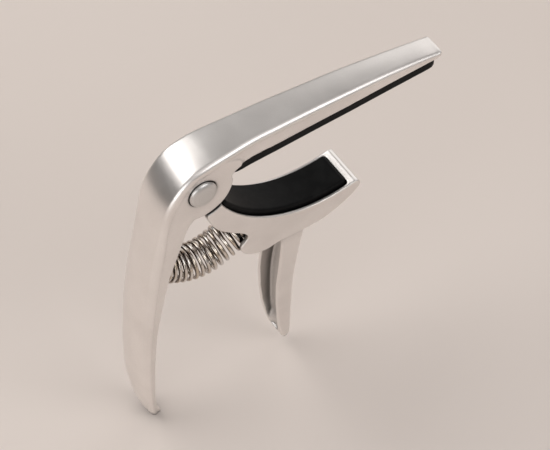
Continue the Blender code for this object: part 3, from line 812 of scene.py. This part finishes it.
finish_piece(make_frame(), "top_jaw", ALLOY, "casting", "frame")
finish_piece(make_lever(), "bottom_jaw", ALLOY, "casting", "lever")
finish_piece(make_string_pad(), "top_jaw", RUBBER, "pad_rubber", "string_pad")
finish_piece(make_neck_pad(), "bottom_jaw", RUBBER, "pad_rubber", "neck_pad")
finish_piece(make_rivet(), "top_jaw", RIVET, "rivet_steel", "pivot_rivet")
finish_piece(make_cap(), "top_jaw", RIVET, "rivet_steel", "rivet_cap")

spring = make_spring()
finish_piece(spring, None, WIRE, "spring_steel", "main_spring")
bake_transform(spring)

for node, material in (
    ("hinge_bushing", BRONZE), ("thrust_washer_near", NYLON), ("thrust_washer_far", NYLON),
):
    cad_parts[node].material_slots[0].material = material


# ---------------------------------------------------------------- floor, light and camera

FLOOR_Z = -66.4
CENTRE = vec(-14.0, 0.0, -26.0)  # of the object, where the lights point


def make_floor():
    """A plain floor just under the tips of the handles."""
    bm = bmesh.new()
    bmesh.ops.create_grid(bm, x_segments=8, y_segments=8, size=1.5)
    obj = add_object("floor", mesh_from("floor", bm))
    obj.location = (0, 0, FLOOR_Z * MM)
    obj.data.materials.append(floor_material())


def aim(obj, target):
    obj.rotation_euler = (target - obj.location).to_track_quat("-Z", "Y").to_euler()


def softbox(name, direction, distance, size, watts, colour):
    """A soft light that the camera doesn't see, at a distance in metres from the object."""
    light = bpy.data.lights.new(name, "AREA")
    light.shape = "RECTANGLE"
    light.size, light.size_y = size
    light.energy = watts
    light.color = colour
    obj = bpy.data.objects.new(name, light)
    bpy.context.scene.collection.objects.link(obj)
    obj.location = CENTRE + Vector(direction).normalized() * distance
    obj.visible_camera = False
    aim(obj, CENTRE)


def make_backdrop():
    """A plain pale wall all round, past the floor, which only the camera sees."""
    bm = bmesh.new()
    bmesh.ops.create_icosphere(bm, subdivisions=5, radius=2.4)
    obj = add_object("backdrop", mesh_from("backdrop", bm))
    material = Nodes("pale_wall")
    material.set("Base Color", (0.0, 0.0, 0.0))
    material.set("Specular IOR Level", 0.0)
    material.set("Emission Color", (0.66, 0.60, 0.56))
    material.set("Emission Strength", 1.0)
    obj.data.materials.append(material.material)
    obj.visible_diffuse = obj.visible_glossy = False
    obj.visible_shadow = obj.visible_transmission = False


def make_flag():
    """A dark card low behind the object, which only reflections see: it shades the shoulder."""
    bm = bmesh.new()
    bmesh.ops.create_grid(bm, x_segments=2, y_segments=2, size=0.5)
    bm.transform(Matrix.Diagonal((0.90, 0.55, 1.0, 1.0)))
    obj = add_object("flag", mesh_from("flag", bm))
    obj.location = CENTRE + vec(-560.0, 410.0, 150.0)
    aim(obj, CENTRE)
    material = Nodes("dark_card")
    material.set("Base Color", (0.03, 0.03, 0.03))
    material.set("Roughness", 0.9)
    obj.data.materials.append(material.material)
    obj.visible_camera = obj.visible_diffuse = obj.visible_shadow = False


make_floor()
make_backdrop()
make_flag()
softbox("back_left", (-0.45, 0.59, 0.67), 1.5, (1.6, 1.2), 13.0, (1.0, 0.985, 0.965))
softbox("back_right", (0.82, 0.44, 0.40), 1.8, (1.6, 1.15), 5.0, (1.0, 0.975, 0.955))
softbox("front_right", (0.35, -0.75, 0.60), 1.8, (1.2, 0.7), 5.6, (1.0, 0.995, 0.99))
softbox("front_left", (-0.76, -0.60, 0.26), 1.6, (1.4, 0.7), 6.0, (1.0, 0.995, 0.99))
softbox("overhead", (0.05, -0.45, 1.0), 2.2, (2.2, 2.0), 5.8, (1.0, 0.97, 0.945))

world = bpy.data.worlds.new("studio")
bpy.context.scene.world = world
world.use_nodes = True
background = world.node_tree.nodes["Background"]
background.inputs["Color"].default_value = (0.80, 0.775, 0.755, 1.0)
background.inputs["Strength"].default_value = 0.37

camera_data = bpy.data.cameras.new("camera")
camera = bpy.data.objects.new("camera", camera_data)
bpy.context.scene.collection.objects.link(camera)
camera_data.lens = 165.0
camera_data.sensor_width = 36.0
camera_data.clip_start = 0.01
camera.location = vec(-188.7, -266.1, 366.0)
aim(camera, vec(-14.5, 0.0, -27.0))
bpy.context.scene.camera = camera
bpy.context.scene.view_settings.view_transform = "Standard"
